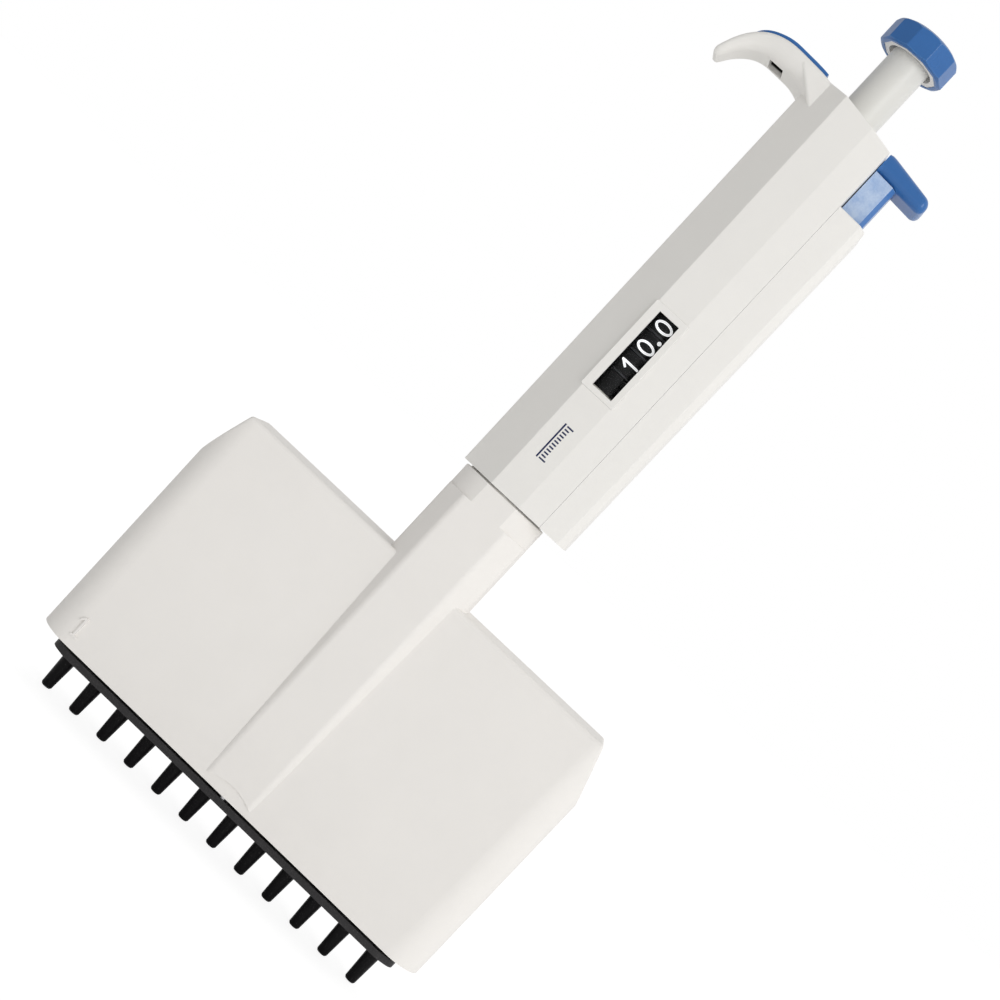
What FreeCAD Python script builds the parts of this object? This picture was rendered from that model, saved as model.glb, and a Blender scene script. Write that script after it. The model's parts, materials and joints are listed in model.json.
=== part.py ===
import FreeCAD, Part
import math
import os

# Twelve-channel hand pipette with a counter window, finger hook and tip ejector, in mm.
# Frame: origin on the plunger axis in the plane of the nozzle ends, +Z up the plunger axis,
# X along the row of nozzles (finger hook at -X, ejector at +X), front (window side) at -Y.

Vector = FreeCAD.Vector

# ---------------------------------------------------------------- shared dimensions
# X0 / X1 and Z0 / Z1 are the low and high limits; R is a radius.

# nozzle row
CHANNELS = 12
PITCH = 9.0
CHANNEL_XS = [(i - (CHANNELS - 1) / 2.0) * PITCH for i in range(CHANNELS)]
NOZZLE_BODY_R = 2.6
NOZZLE_TOP = 36.0
BLOCK_HALF_Y = 8.0

# manifold casing
CASING_Z0, CASING_Z1 = 12.95, 80.65
CASING_Y0, CASING_Y1 = 11.6, 9.2        # half depth at the bottom and at the top
UPPER_SCREWS = [(-30.0, 72.0), (30.0, 72.0)]     # X, Z
LOWER_SCREWS = [(-54.0, 20.0), (54.0, 20.0)]
SCREWS = UPPER_SCREWS + LOWER_SCREWS

# handle
HANDLE_Z0 = 106.75
HANDLE_END = 232.0                      # height before the sloped top is cut
SEAM_X0, SEAM_X1 = 10.95, 11.25         # flat right wall at HANDLE_Z0 and HANDLE_END
SEAM_Y = 11.35
BORE_R = 9.8
BORE_Z1 = 199.0
BUSHING_R = 7.0

# window
BEZEL_X0, BEZEL_X1 = -4.65, 5.05
BEZEL_Z0, BEZEL_Z1 = 137.2, 162.8
BEZEL_BACK_Y = -11.3
BEZEL_CORNER = 0.35

# counter and drive
BAND_Z0 = 138.9                         # bottom of the lowest counter band
BAND = 6.0                              # height of one band
CORE_R = 3.9
ROD_R = 2.4
ROD_FLAT = 1.9                          # axis to each flat of the drive rod
SEAT_TOP = 166.0
PRESS_STROKE = 12.5
SHAFT_R = 5.15
SHAFT_TOP = 248.0
FLANGE_Z0, FLANGE_Z1 = 193.0, 196.0
WASHER_Z0 = 191.5

# swivel coupling and push rods
SPIGOT_R = 7.4
SPIGOT_Z0 = 86.0
SPIGOT_FLANGE_R = 10.6
GROOVE_Z0, GROOVE_Z1 = 96.0, 99.0       # casing groove round the spigot flange
CLIP_Z0, CLIP_Z1 = 130.0, 131.2
PUSH_R = 3.0
PUSH_Z0 = 56.5
PUSH_HEAD_Z0 = 108.0
MEET_Z = 112.0                          # where the drive rod meets the push rod
PUSHROD_R = 0.9
PUSHROD_Y = 8.7
PUSHROD_Z1 = 116.0

# piston carriage
CARRIER_Z0, CARRIER_Z1 = 56.0, 61.5
CARRIER_HALF_X = 53.0
PISTON_R = 0.75
PISTON_HEAD_R = 1.4
PISTON_HEAD_Z0, PISTON_HEAD_Z1 = 57.2, 58.4

# ejector
EJECTOR_X = 14.4                        # axis of the ejector rod
EJECTOR_ROD_R = 1.4
EJECTOR_ROD_Z1 = 215.0
BRACKET_Z0, BRACKET_Z1 = 148.0, 150.0
ROD_COLLAR_Z0, ROD_COLLAR_Z1 = 186.0, 188.0
RING_GROOVE_R = 8.6
RING_GROOVE_Z0, RING_GROOVE_Z1 = 117.0, 121.0
STRIP_Z0, STRIP_Z1 = 10.25, 11.95


# ---------------------------------------------------------------- helpers
def cyl(radius, z0, z1, x=0.0, y=0.0):
    return Part.makeCylinder(radius, z1 - z0, Vector(x, y, z0), Vector(0, 0, 1))


def cyl_y(radius, y0, y1, x, z):
    return Part.makeCylinder(radius, y1 - y0, Vector(x, y0, z), Vector(0, 1, 0))


def ring(outer_r, inner_r, z0, z1, x=0.0):
    return cyl(outer_r, z0, z1, x).cut(cyl(inner_r, z0 - 1, z1 + 1, x))


def box(x0, x1, y0, y1, z0, z1):
    return Part.makeBox(x1 - x0, y1 - y0, z1 - z0, Vector(x0, y0, z0))


def polygon(points):
    corners = [Vector(*point) for point in points]
    return Part.makePolygon(corners + [corners[0]])


def prism_z(points, z0, z1):
    """X, Y outline pushed along Z."""
    return Part.Face(polygon([(x, y, z0) for x, y in points])).extrude(Vector(0, 0, z1 - z0))


def prism_y(points, y0, y1):
    """X, Z outline pushed along Y."""
    return Part.Face(polygon([(x, y0, z) for x, z in points])).extrude(Vector(0, y1 - y0, 0))


def taper_z(low, high, z0, z1):
    """Prism whose outline changes evenly between polygons with as many corners."""
    wires = [polygon([(x, y, z) for x, y in points]) for points, z in ((low, z0), (high, z1))]
    return Part.makeLoft(wires, True, True)


def mirrored(points):
    """X, Y points followed by their mirror images across the X axis, in reverse order."""
    return points + [(x, -y) for x, y in reversed(points)]


def octagon(flat, half_x, half_y):
    """Corners of an octagon; flat is half the length of its X and Y sides."""
    return [(-flat, -half_y), (flat, -half_y), (half_x, -flat), (half_x, flat),
            (flat, half_y), (-flat, half_y), (-half_x, flat), (-half_x, -flat)]


def revolve(points, x=0.0):
    """Radius, Z outline turned about the Z axis, then moved to x."""
    profile = Part.Face(polygon([(radius, 0, z) for radius, z in points]))
    shape = profile.revolve(Vector(0, 0, 0), Vector(0, 0, 1), 360)
    shape.translate(Vector(x, 0, 0))
    return shape


def spring(coil_r, wire, z0, z1, turns, x=0.0):
    """Coil of round wire (a diameter) that just clears the seats at z0 and z1."""
    start, end = z0 + wire / 2 + 0.02, z1 - wire / 2 - 0.02
    helix = Part.makeHelix((end - start) / turns, end - start, coil_r)
    circle = Part.Wire(Part.makeCircle(wire / 2, Vector(coil_r, 0, 0), Vector(0, 1, 0)))
    coil = Part.Wire(helix.Edges).makePipeShell([circle], True, True)
    coil.translate(Vector(x, 0, start))
    return coil


def spline(points):
    curve = Part.BSplineCurve()
    curve.interpolate([Vector(*point) for point in points])
    return curve.toShape()


def rounded_section(low, top, half, low_round, top_round):
    """Four-cornered outline with rounded corners, in the plane through low, top (X, Z) and Y."""
    run, rise = top[0] - low[0], top[1] - low[1]
    height = math.hypot(run, rise)
    run, rise = run / height, rise / height
    corners = [(half - low_round, low_round, low_round, -90),
               (half - top_round, height - top_round, top_round, 0),
               (-half + top_round, height - top_round, top_round, 90),
               (-half + low_round, low_round, low_round, 180)]
    arcs = []
    for across, up, radius, start in corners:
        points = []
        for angle in (start, start + 45, start + 90):
            y = across + radius * math.cos(math.radians(angle))
            along = up + radius * math.sin(math.radians(angle))
            points.append(Vector(low[0] + run * along, y, low[1] + rise * along))
        arcs.append(points)
    edges = []
    for i, points in enumerate(arcs):
        edges.append(Part.Arc(*points).toShape())
        edges.append(Part.makeLine(points[2], arcs[(i + 1) % 4][0]))
    return Part.Wire(edges)


def rounded_rectangle(half_x, half_y, radius, z):
    across, deep = half_x - radius, half_y - radius
    centres = [(across, deep, 0), (-across, deep, 90), (-across, -deep, 180), (across, -deep, 270)]
    arcs = [Part.makeCircle(radius, Vector(x, y, z), Vector(0, 0, 1), angle, angle + 90)
            for x, y, angle in centres]
    edges = []
    for i, arc in enumerate(arcs):
        edges.append(arc)
        edges.append(Part.makeLine(arc.Vertexes[-1].Point, arcs[(i + 1) % 4].Vertexes[0].Point))
    return Part.Wire(Part.__sortEdges__(edges))


def largest_solid(shape):
    return max(shape.Solids, key=lambda solid: solid.Volume)


def fillet(shape, radius, pick):
    """Round the edges that pick accepts."""
    edges = [edge for edge in shape.Edges if pick(edge)]
    if not edges:
        return shape
    # Guards against a fillet that fails on all the edges together.
    try:
        out = shape.makeFillet(radius, edges)
        if out.isValid() and len(out.Solids) >= 1 and out.Volume > 0:
            return out
    except Exception:
        pass
    # Then each edge is tried by itself, and those that fail stay sharp.
    for edge in edges:
        try:
            out = shape.makeFillet(radius, [edge])
            if out.isValid() and out.Volume > 0:
                shape = out
        except Exception:
            pass
    return shape


def vertical(edge):
    """True for an edge along Z, or nearly so."""
    if len(edge.Vertexes) != 2:
        return False
    start, end = edge.Vertexes[0].Point, edge.Vertexes[1].Point
    height = abs(start.z - end.z)
    return (abs(start.x - end.x) < 0.03 * height and abs(start.y - end.y) < 0.03 * height
            and height > 1)


def along_y(edge):
    bounds = edge.BoundBox
    return abs(bounds.XMax - bounds.XMin) < 1e-6 and abs(bounds.ZMax - bounds.ZMin) < 1e-6


def cut_pushrod_holes(shape, radius, z0, z1):
    for side in (-1, 1):
        shape = shape.cut(cyl(radius, z0, z1, 0, side * PUSHROD_Y))
    return shape


def save(name, shapes):
    """Write one shape or a list of shapes to the piece's STEP file."""
    if not isinstance(shapes, list):
        shapes = [shapes]
    solids = []
    for shape in shapes:
        solids += shape.removeSplitter().Solids
    piece = solids[0] if len(solids) == 1 else Part.makeCompound(solids)
    piece.exportStep("parts/" + name + ".step")


# ---------------------------------------------------------------- finger hook and its pad
HOOK_HALF = 8.4                         # half width of the gusset under the hook
HOOK_TOP_ROUND = 0.85

# underside point (X, Z), top point (X, Z), half width, rounding below
HOOK_STATIONS = [
    ((-7.6, 218.9), (-7.6, 226.0), 8.60, 3.3),
    ((-11.2, 219.75), (-11.0, 226.45), 8.45, 3.6),
    ((-14.6, 221.15), (-14.4, 226.85), 8.30, 3.8),
    ((-18.0, 222.03), (-18.2, 227.15), 8.10, 3.9),
    ((-21.6, 222.06), (-22.2, 227.30), 7.75, 3.9),
    ((-25.0, 222.05), (-26.2, 226.65), 7.15, 3.5),
    ((-27.6, 221.35), (-29.6, 225.0), 6.50, 3.0),
    ((-29.7, 220.0), (-32.2, 222.45), 5.80, 2.5),
    ((-31.4, 218.3), (-34.0, 219.6), 5.15, 2.1),
    ((-32.6, 216.7), (-35.1, 217.2), 4.55, 1.7),
    ((-33.2, 215.65), (-35.5, 216.1), 4.0, 1.25),
    ((-33.7, 214.95), (-35.35, 215.2), 3.3, 0.75),
    ((-34.15, 214.6), (-34.95, 214.7), 2.5, 0.34)]

# middle line of the pad along the top of the hook (X, Z)
PAD_LINE = [(-31.0, 223.75), (-30.0, 224.7), (-28.2, 225.9), (-26.0, 226.7), (-24.2, 227.1),
            (-22.5, 227.3), (-20.9, 227.3), (-19.5, 227.2), (-17.2, 227.05), (-15.0, 226.9),
            (-11.4, 226.45)]
PAD_HALF_THICK = 0.9

# front half of the pad seen from above (X, Y), from the handle to the tip
PAD_PLAN = [(-9.0, -7.5), (-12.0, -7.4), (-16.0, -7.2), (-20.0, -6.95), (-24.0, -6.35),
            (-27.5, -5.3), (-30.0, -3.9), (-31.2, -2.2), (-31.6, 0.0)]


def hook():
    wires = [rounded_section(low, top, half, low_round, min(HOOK_TOP_ROUND, low_round))
             for low, top, half, low_round in HOOK_STATIONS]
    ruled = Part.makeLoft(wires, True, True)
    shape = ruled
    # Guards against a smooth loft that fails or bulges; the ruled one then stands in.
    try:
        smooth = Part.makeLoft(wires, True, False)
        if smooth.isValid() and abs(smooth.Volume - ruled.Volume) < 0.03 * ruled.Volume:
            shape = smooth
    except Exception:
        pass
    # flat on the underside
    return shape.cut(box(-25.0, -18.2, -12, 12, 215, 222.1))


def hook_gusset():
    """Wedge between the hook's underside and the handle."""
    outline = [(-8.0, 216.8), (-8.0, 225.8), (-17.2, 225.8), (-17.4, 224.85)]
    shape = prism_y(outline, -HOOK_HALF, HOOK_HALF)
    return fillet(shape, 0.8, lambda edge: abs(edge.BoundBox.YMax - edge.BoundBox.YMin) < 1e-4
                  and edge.BoundBox.ZMax < 225.0)


def offset_line(points, distance):
    """Points moved square to the line, upwards for a positive distance."""
    moved = []
    for i, (x, z) in enumerate(points):
        before = points[max(i - 1, 0)]
        after = points[min(i + 1, len(points) - 1)]
        run, rise = after[0] - before[0], after[1] - before[1]
        length = math.hypot(run, rise)
        moved.append((x - rise / length * distance, z + run / length * distance))
    return moved


def pad_blank():
    """The pad with sharp edges, which is also its recess in the hook."""
    half_y = 12
    top = [(x, -half_y, z) for x, z in offset_line(PAD_LINE, PAD_HALF_THICK)]
    under = [(x, -half_y, z) for x, z in offset_line(PAD_LINE, -PAD_HALF_THICK)][::-1]
    edges = [spline(top), Part.makeLine(Vector(*top[-1]), Vector(*under[0])),
             spline(under), Part.makeLine(Vector(*under[-1]), Vector(*top[0]))]
    side = Part.Face(Part.Wire(Part.__sortEdges__(edges))).extrude(Vector(0, 2 * half_y, 0))
    z0, z1 = 200, 240
    rim = [(x, y, z0) for x, y in PAD_PLAN + [(x, -y) for x, y in PAD_PLAN[-2::-1]]]
    edges = [spline(rim), Part.makeLine(Vector(*rim[-1]), Vector(*rim[0]))]
    plan = Part.Face(Part.Wire(Part.__sortEdges__(edges))).extrude(Vector(0, 0, z1 - z0))
    return side.common(plan)


def hook_pad():
    pad = fillet(pad_blank(), 0.45, lambda edge: edge.BoundBox.ZMax > 227.6
                 and edge.BoundBox.XMax - edge.BoundBox.XMin > 8)
    return largest_solid(pad)


# ---------------------------------------------------------------- handle body
HANDLE_LEFT_X0, HANDLE_LEFT_X1 = -12.95, -13.3   # lower end, upper end
HANDLE_LEFT_Y = 5.3
LEFT_FACET_X0, LEFT_FACET_X1 = -3.85, -4.6
RIGHT_FACET_X = 4.6
HANDLE_FRONT_Y = 12.5
TOP_Z = 225.1                           # height of the sloped top at LEFT_FACET_X1
TOP_SLOPE = 0.178


def body_outline(left_x, facet_x, seam_x):
    return mirrored([(left_x, -HANDLE_LEFT_Y), (facet_x, -HANDLE_FRONT_Y),
                     (RIGHT_FACET_X, -HANDLE_FRONT_Y), (seam_x, -SEAM_Y)])


def top_at(x):
    return TOP_Z - TOP_SLOPE * (x - LEFT_FACET_X1)


def window_rebate():
    rebate = box(BEZEL_X0, BEZEL_X1, -13.5, BEZEL_BACK_Y, BEZEL_Z0, BEZEL_Z1)
    return fillet(rebate, BEZEL_CORNER, along_y)


def handle_body():
    body = taper_z(body_outline(HANDLE_LEFT_X0, LEFT_FACET_X0, SEAM_X0),
                   body_outline(HANDLE_LEFT_X1, LEFT_FACET_X1, SEAM_X1), HANDLE_Z0, HANDLE_END)
    body = fillet(body, 0.5, lambda edge: vertical(edge)
                  and edge.Vertexes[0].Point.x < SEAM_X0 - 1)
    body = body.cut(prism_y([(-60, top_at(-60)), (60, top_at(60)), (60, 300), (-60, 300)], -40, 40))
    body = fillet(body, 0.6, lambda edge: min(v.Point.z for v in edge.Vertexes) > 220.5
                  and not vertical(edge)
                  and min(v.Point.x for v in edge.Vertexes) < SEAM_X0 - 0.1)
    body = body.fuse([hook(), hook_gusset()])
    # pocket in the underside of the hook
    body = body.cut(box(-24.2, -20.2, -3.4, 3.4, 221.0, 225.8))
    body = body.cut(pad_blank())
    # stepped bore for the counter, the bushing and the plunger shaft
    body = body.cut(cyl(BORE_R, 100, BORE_Z1))
    body = body.cut(cyl(BUSHING_R, BORE_Z1 - 1, 218.0))
    body = body.cut(cyl(5.7, 217.0, 240.0))
    # window opening, and the rebate the bezel sits in
    rim = 0.9
    body = body.cut(box(BEZEL_X0 + rim, BEZEL_X1 - rim, -13.5, -8.0, BEZEL_Z0 + rim, BEZEL_Z1 - rim))
    body = body.cut(window_rebate())
    # slot in the right wall for the ejector foot
    body = body.cut(box(8.0, 12.0, -2.25, 2.25, 110.6, 121.4))
    # bracket that carries the ejector spring
    bracket = box(SEAM_X0 - 0.5, 16.9, -2.6, 2.6, BRACKET_Z0, BRACKET_Z1)
    bracket = bracket.cut(cyl(EJECTOR_ROD_R + 0.1, BRACKET_Z0 - 1, BRACKET_Z1 + 1, EJECTOR_X))
    return largest_solid(body.fuse([bracket]))


# ---------------------------------------------------------------- ejector cover
COVER_Z0, COVER_Z1 = HANDLE_Z0 - 0.05, 206.0
COVER_FACET_X0, COVER_FACET_X1 = 16.45, 17.8     # lower end, upper end
COVER_FACET_Y = 10.15
COVER_RIGHT_X0, COVER_RIGHT_X1 = 18.25, 19.35
COVER_RIGHT_Y = 7.6
SEAM_GAP = 0.05


def cover_outline(z, facet_x, right_x):
    """Outline of the cover, set off from the handle's right wall at height z."""
    wall_x = SEAM_X0 + (SEAM_X1 - SEAM_X0) * (z - HANDLE_Z0) / (HANDLE_END - HANDLE_Z0)
    return mirrored([(wall_x + SEAM_GAP, -(SEAM_Y - 0.02)), (facet_x, -COVER_FACET_Y),
                     (right_x, -COVER_RIGHT_Y)])


def cover_hollow(facet_x, right_x):
    return mirrored([(SEAM_X0 - 1, -10.2), (facet_x - 0.45, -9.05), (right_x - 1.0, -7.1)])


def ejector_cover():
    cover = taper_z(cover_outline(COVER_Z0, COVER_FACET_X0, COVER_RIGHT_X0),
                    cover_outline(COVER_Z1, COVER_FACET_X1, COVER_RIGHT_X1), COVER_Z0, COVER_Z1)
    cover = fillet(cover, 0.6, lambda edge: vertical(edge)
                   and min(v.Point.x for v in edge.Vertexes) > SEAM_X0 + 2)
    cover = fillet(cover, 1.7, lambda edge: edge.BoundBox.ZMin > COVER_Z1 - 0.01
                   and edge.BoundBox.XMin > COVER_RIGHT_X1 - 0.05)
    cover = fillet(cover, 0.4, lambda edge: edge.BoundBox.ZMin > COVER_Z1 - 0.01
                   and edge.BoundBox.XMax > SEAM_X0 + 1.0
                   and edge.BoundBox.XMax - edge.BoundBox.XMin > 1)
    # hollow, open at the top and towards the handle
    cover = cover.cut(taper_z(cover_hollow(COVER_FACET_X0, COVER_RIGHT_X0),
                              cover_hollow(COVER_FACET_X1, COVER_RIGHT_X1),
                              COVER_Z0 + 1.6, COVER_Z1 + 0.5))
    return largest_solid(cover)


# ---------------------------------------------------------------- window
WINDOW_X0, WINDOW_X1 = -2.30, 3.45
WINDOW_Z0, WINDOW_Z1 = 138.6, 161.1
LENS_STEP_Y = -12.0                     # front of the lens flange


def lens_flange(back_y):
    return box(WINDOW_X0 - 0.5, WINDOW_X1 + 0.3, LENS_STEP_Y, back_y,
               WINDOW_Z0 - 0.5, WINDOW_Z1 + 0.5)


def window_bezel():
    gap = 0.015
    front_y = -12.8
    bezel = box(BEZEL_X0 + gap, BEZEL_X1 - gap, front_y, BEZEL_BACK_Y,
                BEZEL_Z0 + gap, BEZEL_Z1 - gap)
    bezel = fillet(bezel, BEZEL_CORNER, along_y)
    bezel = fillet(bezel, 0.2, lambda edge: edge.BoundBox.YMax < front_y + 0.01)
    bezel = bezel.cut(box(WINDOW_X0, WINDOW_X1, -14, -10, WINDOW_Z0, WINDOW_Z1))
    return largest_solid(bezel.cut(lens_flange(-10)))


def window_lens():
    gap = 0.02
    rim = 0.95
    lens = lens_flange(BEZEL_BACK_Y)
    lens = lens.fuse(box(WINDOW_X0 + gap, WINDOW_X1 - gap, -12.35, -11.9,
                         WINDOW_Z0 + gap, WINDOW_Z1 - gap))
    lens = lens.fuse(box(BEZEL_X0 + rim, BEZEL_X1 - rim, BEZEL_BACK_Y, -10.4,
                         BEZEL_Z0 + rim, BEZEL_Z1 - rim))
    return largest_solid(lens)


# ---------------------------------------------------------------- counter
WHEEL_R = 9.5
WHEEL_GAP = 0.3
CORE_Z0, CORE_Z1 = 139.4, 190.0
PINION_Y = 6.95
PIN_R = 0.4
THREAD_Z0 = 166.6
THREAD_PITCH = 1.25
THREAD_DEPTH = 0.35
NUT_Z0 = SEAT_TOP + 0.3


def band_bottom(index):
    return BAND_Z0 + index * BAND


def counter_spacer():
    return ring(WHEEL_R, 5.0, BAND_Z0 + WHEEL_GAP, band_bottom(1) - WHEEL_GAP)


def counter_wheel(index, bore):
    """Cup-shaped wheel, hollowed from below, in the band with this index."""
    z0, z1 = band_bottom(index) + WHEEL_GAP, band_bottom(index + 1) - WHEEL_GAP
    wheel = cyl(WHEEL_R, z0, z1).cut(ring(8.3, 5.6, z0 - 1, z1 - 1.3))
    return wheel.cut(cyl(bore, z0 - 1, z1 + 1))


def counter_plates():
    """Plates between the bands; the upper two carry a pinion pin."""
    plates = []
    for index in (1, 2, 3):
        z = band_bottom(index)
        plate = ring(BORE_R, CORE_R + 0.1, z - 0.2, z + 0.2)
        if index > 1:
            plate = plate.fuse(cyl(PIN_R, z, z + 3.6, 0, PINION_Y))
        plates.append(largest_solid(plate))
    return plates


def carry_pinion(index):
    """Eight-toothed pinion on the pin of the plate with this index."""
    z = band_bottom(index)
    star = []
    for i in range(16):
        angle = math.pi * i / 8
        radius = 1.22 if i % 2 == 0 else 0.85
        star.append((radius * math.cos(angle), PINION_Y + radius * math.sin(angle)))
    return prism_z(star, z + 0.35, z + 3.3).cut(cyl(PIN_R + 0.05, z - 1, z + 5, 0, PINION_Y))


def counter_core():
    """Core with ring grooves for a thread and a bore with two flats."""
    profile = [(2.0, CORE_Z0), (CORE_R, CORE_Z0), (CORE_R, THREAD_Z0)]
    root_r = CORE_R - THREAD_DEPTH
    z = THREAD_Z0
    while z < 188.5:
        profile += [(root_r, z + 0.3), (root_r, z + 0.6), (CORE_R, z + 0.9),
                    (CORE_R, z + THREAD_PITCH)]
        z += THREAD_PITCH
    profile += [(CORE_R, CORE_Z1), (2.0, CORE_Z1)]
    flat = ROD_FLAT + 0.05
    bore = cyl(ROD_R + 0.05, 130, 200).common(box(-5, 5, -flat, flat, 130, 200))
    lining = ring(CORE_R, 1.5, CORE_Z0, CORE_Z1).common(cyl(2.5, CORE_Z0, CORE_Z1))
    return largest_solid(revolve(profile).fuse(lining).cut(bore))


def spring_seat():
    """Seat above the counter, with the slotted guide of the stop nut."""
    guide_z1 = 178.0
    seat = ring(BORE_R, CORE_R + 0.1, 163.2, SEAT_TOP)
    guide = ring(6.9, 6.08, SEAT_TOP, guide_z1)
    for angle in (0, 180):
        slot = box(5.0, 8.0, -1.15, 1.15, SEAT_TOP, guide_z1 + 1)
        slot.rotate(Vector(0, 0, 0), Vector(0, 0, 1), angle)
        guide = guide.cut(slot)
    return largest_solid(seat.fuse(guide.Solids))


def volume_stop_nut():
    nut = ring(6.0, CORE_R + 0.05, NUT_Z0, WASHER_Z0 - PRESS_STROKE - 0.05)
    lugs = ring(6.85, 5.5, NUT_Z0, NUT_Z0 + 3.0).common(box(-8, 8, -1.05, 1.05, 166, 170))
    return largest_solid(nut.fuse(lugs.Solids))


# ---------------------------------------------------------------- plunger
KNOB_Z0 = 243.4
KNOB_Z1 = KNOB_Z0 + 7.2
KNOB_R = 9.25
KNOB_SIDES = 10
KNOB_RECESS_Z1 = KNOB_Z0 + 2.6


def plunger_bushing():
    bore = SHAFT_R + 0.05
    flange = ring(9.6, bore, FLANGE_Z1 + 0.02, BORE_Z1 - 0.02)
    return largest_solid(ring(BUSHING_R, bore, FLANGE_Z1, 217.5).fuse(flange))


def plunger_shaft():
    wide_bore_r, wide_bore_z1 = 4.2, 212.0
    flange_r = 8.4
    return revolve([(wide_bore_r, FLANGE_Z0), (flange_r, FLANGE_Z0), (flange_r, FLANGE_Z1),
                    (SHAFT_R, FLANGE_Z1), (SHAFT_R, SHAFT_TOP), (ROD_R, SHAFT_TOP),
                    (ROD_R, wide_bore_z1), (wide_bore_r, wide_bore_z1)])


def thrust_washer():
    return ring(8.6, 4.4, WASHER_Z0, FLANGE_Z0 - 0.02)


def main_spring():
    return spring(coil_r=7.7, wire=1.2, z0=SEAT_TOP, z1=WASHER_Z0, turns=7)


def drive_rod():
    """Round rod with two flats below its upper part."""
    rod = cyl(ROD_R, MEET_Z + 0.03, 230.0)
    for y0, y1 in ((ROD_FLAT, 5), (-5, -ROD_FLAT)):
        rod = rod.cut(box(-5, 5, y0, y1, MEET_Z - 1, 205))
    return largest_solid(rod)


def knob_polygon(radius):
    step = 360 / KNOB_SIDES
    angles = [math.radians(-90 + step / 2 + step * i) for i in range(KNOB_SIDES)]
    return [(radius * math.cos(angle), radius * math.sin(angle)) for angle in angles]


def plunger_knob():
    knob = prism_z(knob_polygon(KNOB_R), KNOB_Z0, KNOB_Z1)
    # domed top
    knob = knob.common(revolve([
        (0, KNOB_Z0), (KNOB_R + 0.1, KNOB_Z0), (KNOB_R + 0.1, KNOB_Z1 - 1.6),
        (KNOB_R - 0.5, KNOB_Z1 - 1.0), (KNOB_R - 1.6, KNOB_Z1 - 0.4),
        (KNOB_R - 3.4, KNOB_Z1), (0, KNOB_Z1)]))
    knob = fillet(knob, 0.6, vertical)
    # bevelled lower edge
    knob = knob.common(revolve([
        (0, KNOB_Z0), (KNOB_R - 1.0, KNOB_Z0), (KNOB_R + 0.5, KNOB_Z0 + 0.7),
        (KNOB_R + 0.5, KNOB_Z0 + 20), (0, KNOB_Z0 + 20)]))
    recess = prism_z(knob_polygon(7.8), KNOB_Z0 - 1, KNOB_RECESS_Z1)
    recess = recess.cut(cyl(SHAFT_R, KNOB_Z0 - 2, KNOB_Z0 + 5))
    return largest_solid(knob.cut(recess).cut(cyl(SHAFT_R, KNOB_Z0 - 1, SHAFT_TOP)))


def knob_ring():
    """Insert in the recess under the knob."""
    insert = prism_z(knob_polygon(7.75), KNOB_Z0 + 0.15, KNOB_RECESS_Z1)
    return fillet(insert, 0.8, vertical).cut(cyl(6.2, KNOB_Z0 - 1, KNOB_Z0 + 4))


# ---------------------------------------------------------------- ejector
STEM_X0 = 11.5                          # left side
STEM_X1, STEM_X2 = 16.95, 18.0          # start and end of the bevelled right corners
STEM_Y0, STEM_Y1 = 5.4, 4.1             # half depth at the bevel's start and end
BUTTON_X0, BUTTON_X1 = 11.38, 25.85
BUTTON_HALF_Y = 5.9
BUTTON_ROUND = 2.35
BUTTON_NOSE = 1.9                       # radius of the nose at the right end


def button_low(x):
    return 218.75 - 0.075 * (x - STEM_X0)


def button_top(x):
    return 224.25 - 0.194 * (x - BUTTON_X0 - 1.6)


def ejector_stem():
    outside = mirrored([(STEM_X0, -STEM_Y0), (STEM_X1, -STEM_Y0), (STEM_X2, -STEM_Y1)])
    inside = mirrored([(STEM_X0 + 1.1, -STEM_Y0 + 1.1), (STEM_X1 - 0.4, -STEM_Y0 + 1.1),
                       (STEM_X2 - 1.1, -STEM_Y1 + 0.7)])
    stem = prism_z(outside, 194.0, 220.0)
    stem = fillet(stem, 0.35, lambda edge: vertical(edge)
                  and edge.Vertexes[0].Point.x > STEM_X0 + 1)
    stem = stem.cut(prism_z(inside, 193.0, 211.0))
    stem = stem.cut(cyl(EJECTOR_ROD_R, 190, EJECTOR_ROD_Z1, EJECTOR_X))
    # trimmed to the sloping underside of the button
    above = [(10.0, button_low(10.0)), (30.0, button_low(30.0)), (30, 240), (10, 240)]
    return largest_solid(stem.cut(prism_y(above, -20, 20)))


def ejector_button():
    """Loft in +X whose last sections shrink round the nose."""
    # distance from the left end, top Z, corner rounding
    stations = [(0, 223.95, 1.5), (0.8, 224.25, 2.1),
                (1.8, button_top(BUTTON_X0 + 1.8), BUTTON_ROUND)]
    wires = []
    for step, top, radius in stations:
        x = BUTTON_X0 + step
        wires.append(rounded_section((x, button_low(x)), (x, top), BUTTON_HALF_Y, radius, radius))
    for i in range(7):
        angle = math.radians(14.0 * i)
        x = BUTTON_X1 - BUTTON_NOSE + BUTTON_NOSE * math.sin(angle)
        inset = BUTTON_NOSE * (1 - math.cos(angle))
        low, top = button_low(x) + inset, button_top(x) - inset
        radius = min(BUTTON_ROUND - 0.45 * inset, (top - low) / 2 - 0.06)
        wires.append(rounded_section((x, low), (x, top), BUTTON_HALF_Y - inset, radius, radius))
    return largest_solid(Part.makeLoft(wires, True, True))


def ejector_rod():
    collar = ring(2.4, EJECTOR_ROD_R, ROD_COLLAR_Z0, ROD_COLLAR_Z1, EJECTOR_X)
    collar = collar.fuse(cyl(EJECTOR_ROD_R, ROD_COLLAR_Z0, ROD_COLLAR_Z1, EJECTOR_X))
    rod = cyl(EJECTOR_ROD_R, RING_GROOVE_Z0, EJECTOR_ROD_Z1, EJECTOR_X)
    return largest_solid(rod.fuse(collar))


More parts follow.
